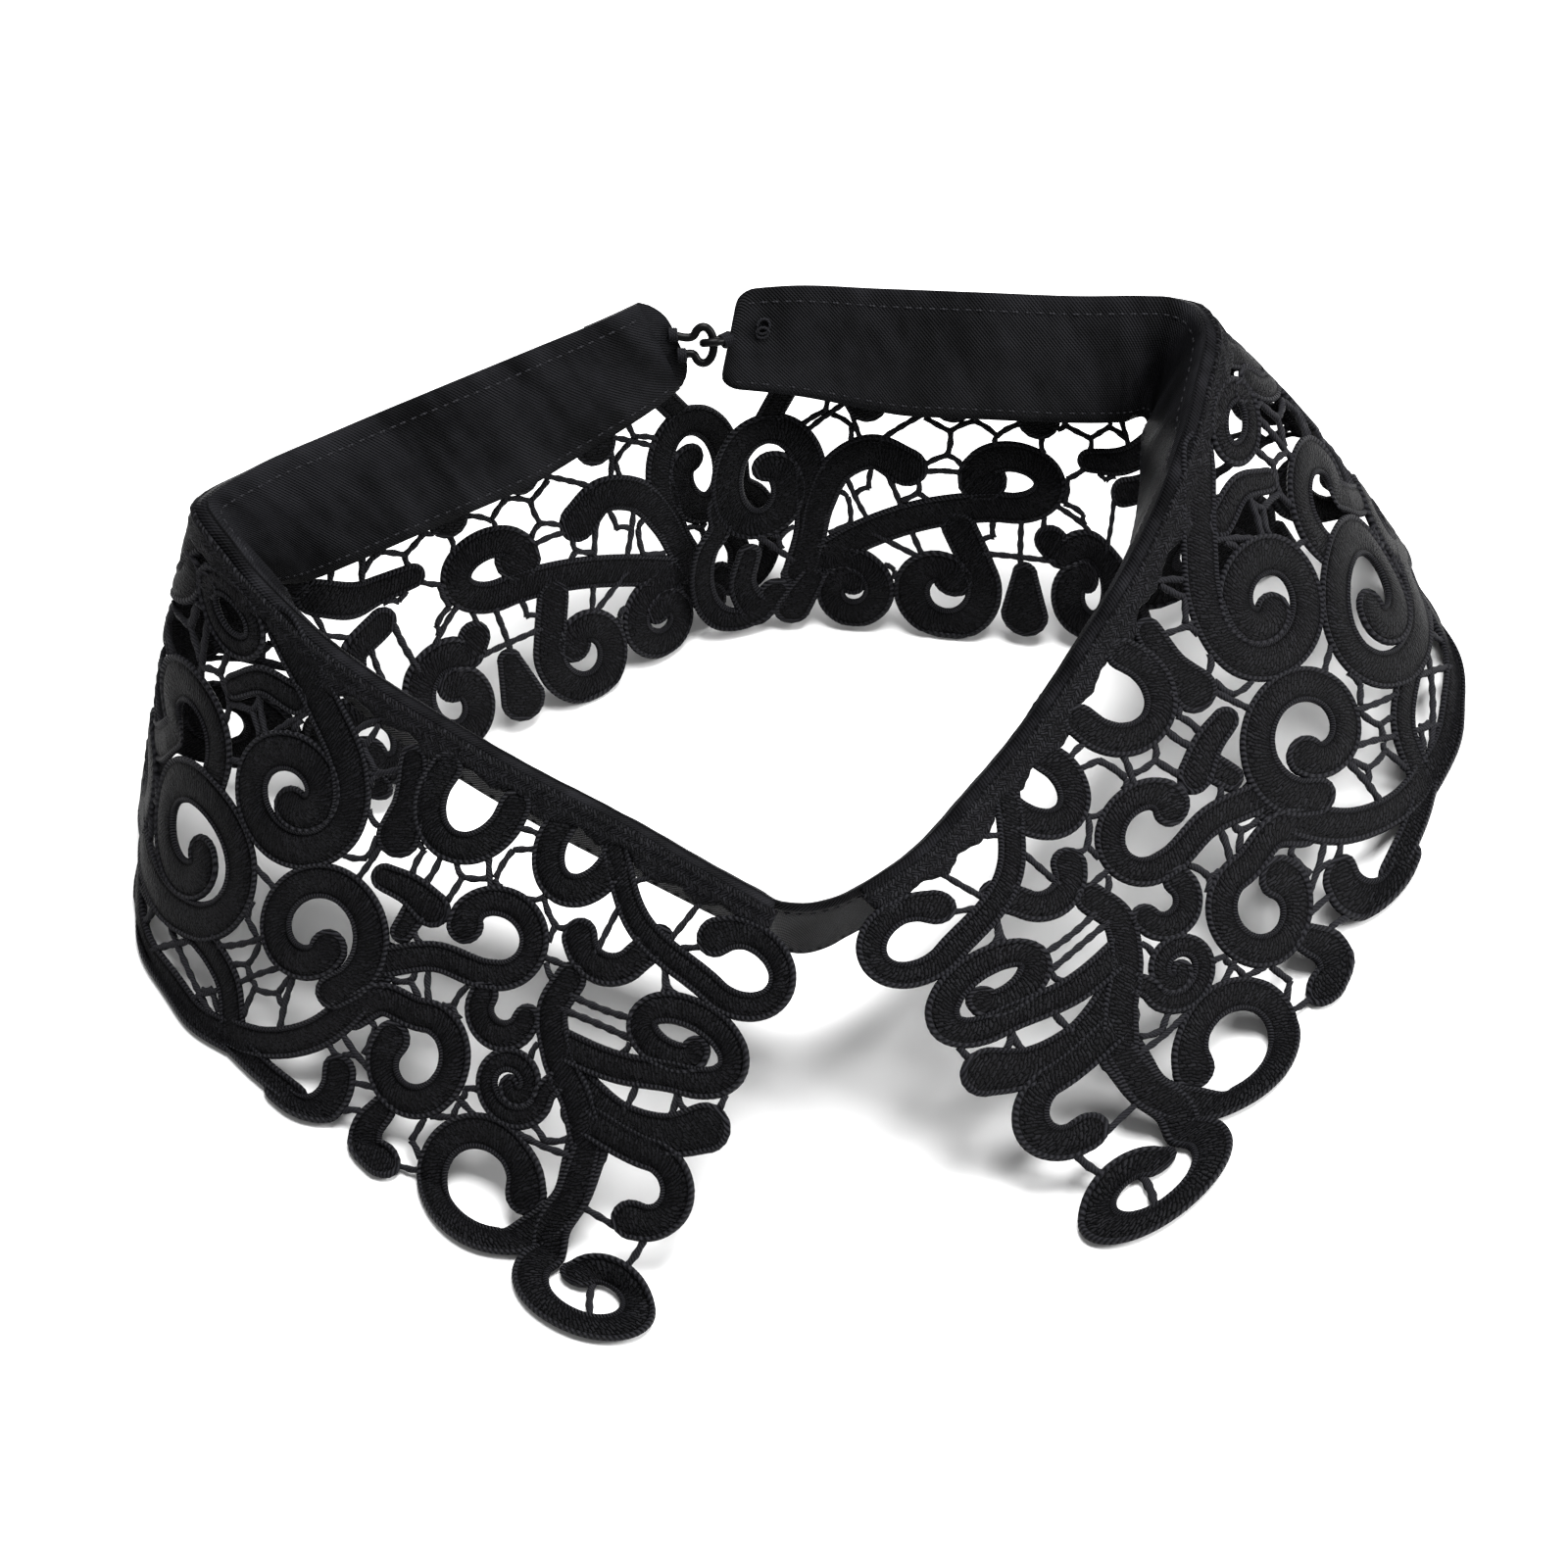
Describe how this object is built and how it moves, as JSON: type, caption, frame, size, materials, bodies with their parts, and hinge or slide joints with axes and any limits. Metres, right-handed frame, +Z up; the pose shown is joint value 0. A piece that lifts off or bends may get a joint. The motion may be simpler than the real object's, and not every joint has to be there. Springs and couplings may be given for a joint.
{
  "type": "lace collar",
  "caption": "Detachable collar of scrolled guipure lace: two lace halves hang from a twill neckband that closes at the back with a hook and eye.",
  "frame": {"origin": "middle of the object's box, on the surface it stands on", "axes": "+X to the wearer's left across the shoulders as seen from the front, the long way; +Y to the back; +Z up along the neck"},
  "size_m": [0.2022, 0.1572, 0.0551],
  "materials": {
    "lace_left": "matt black embroidery thread, satin-stitched scrolls with raised edge cords",
    "lace_right": "matt black embroidery thread, satin-stitched scrolls with raised edge cords",
    "stand": "fine black twill with a slight sheen, topstitched along its edges",
    "hook": "black-coated bent wire",
    "eye": "black-coated bent wire"
  },
  "bodies": {
    "root": {"lace_left": "lace_left", "lace_right": "lace_right", "stand": "stand", "hook": "hook", "eye": "eye"}
  },
  "joints": []
}
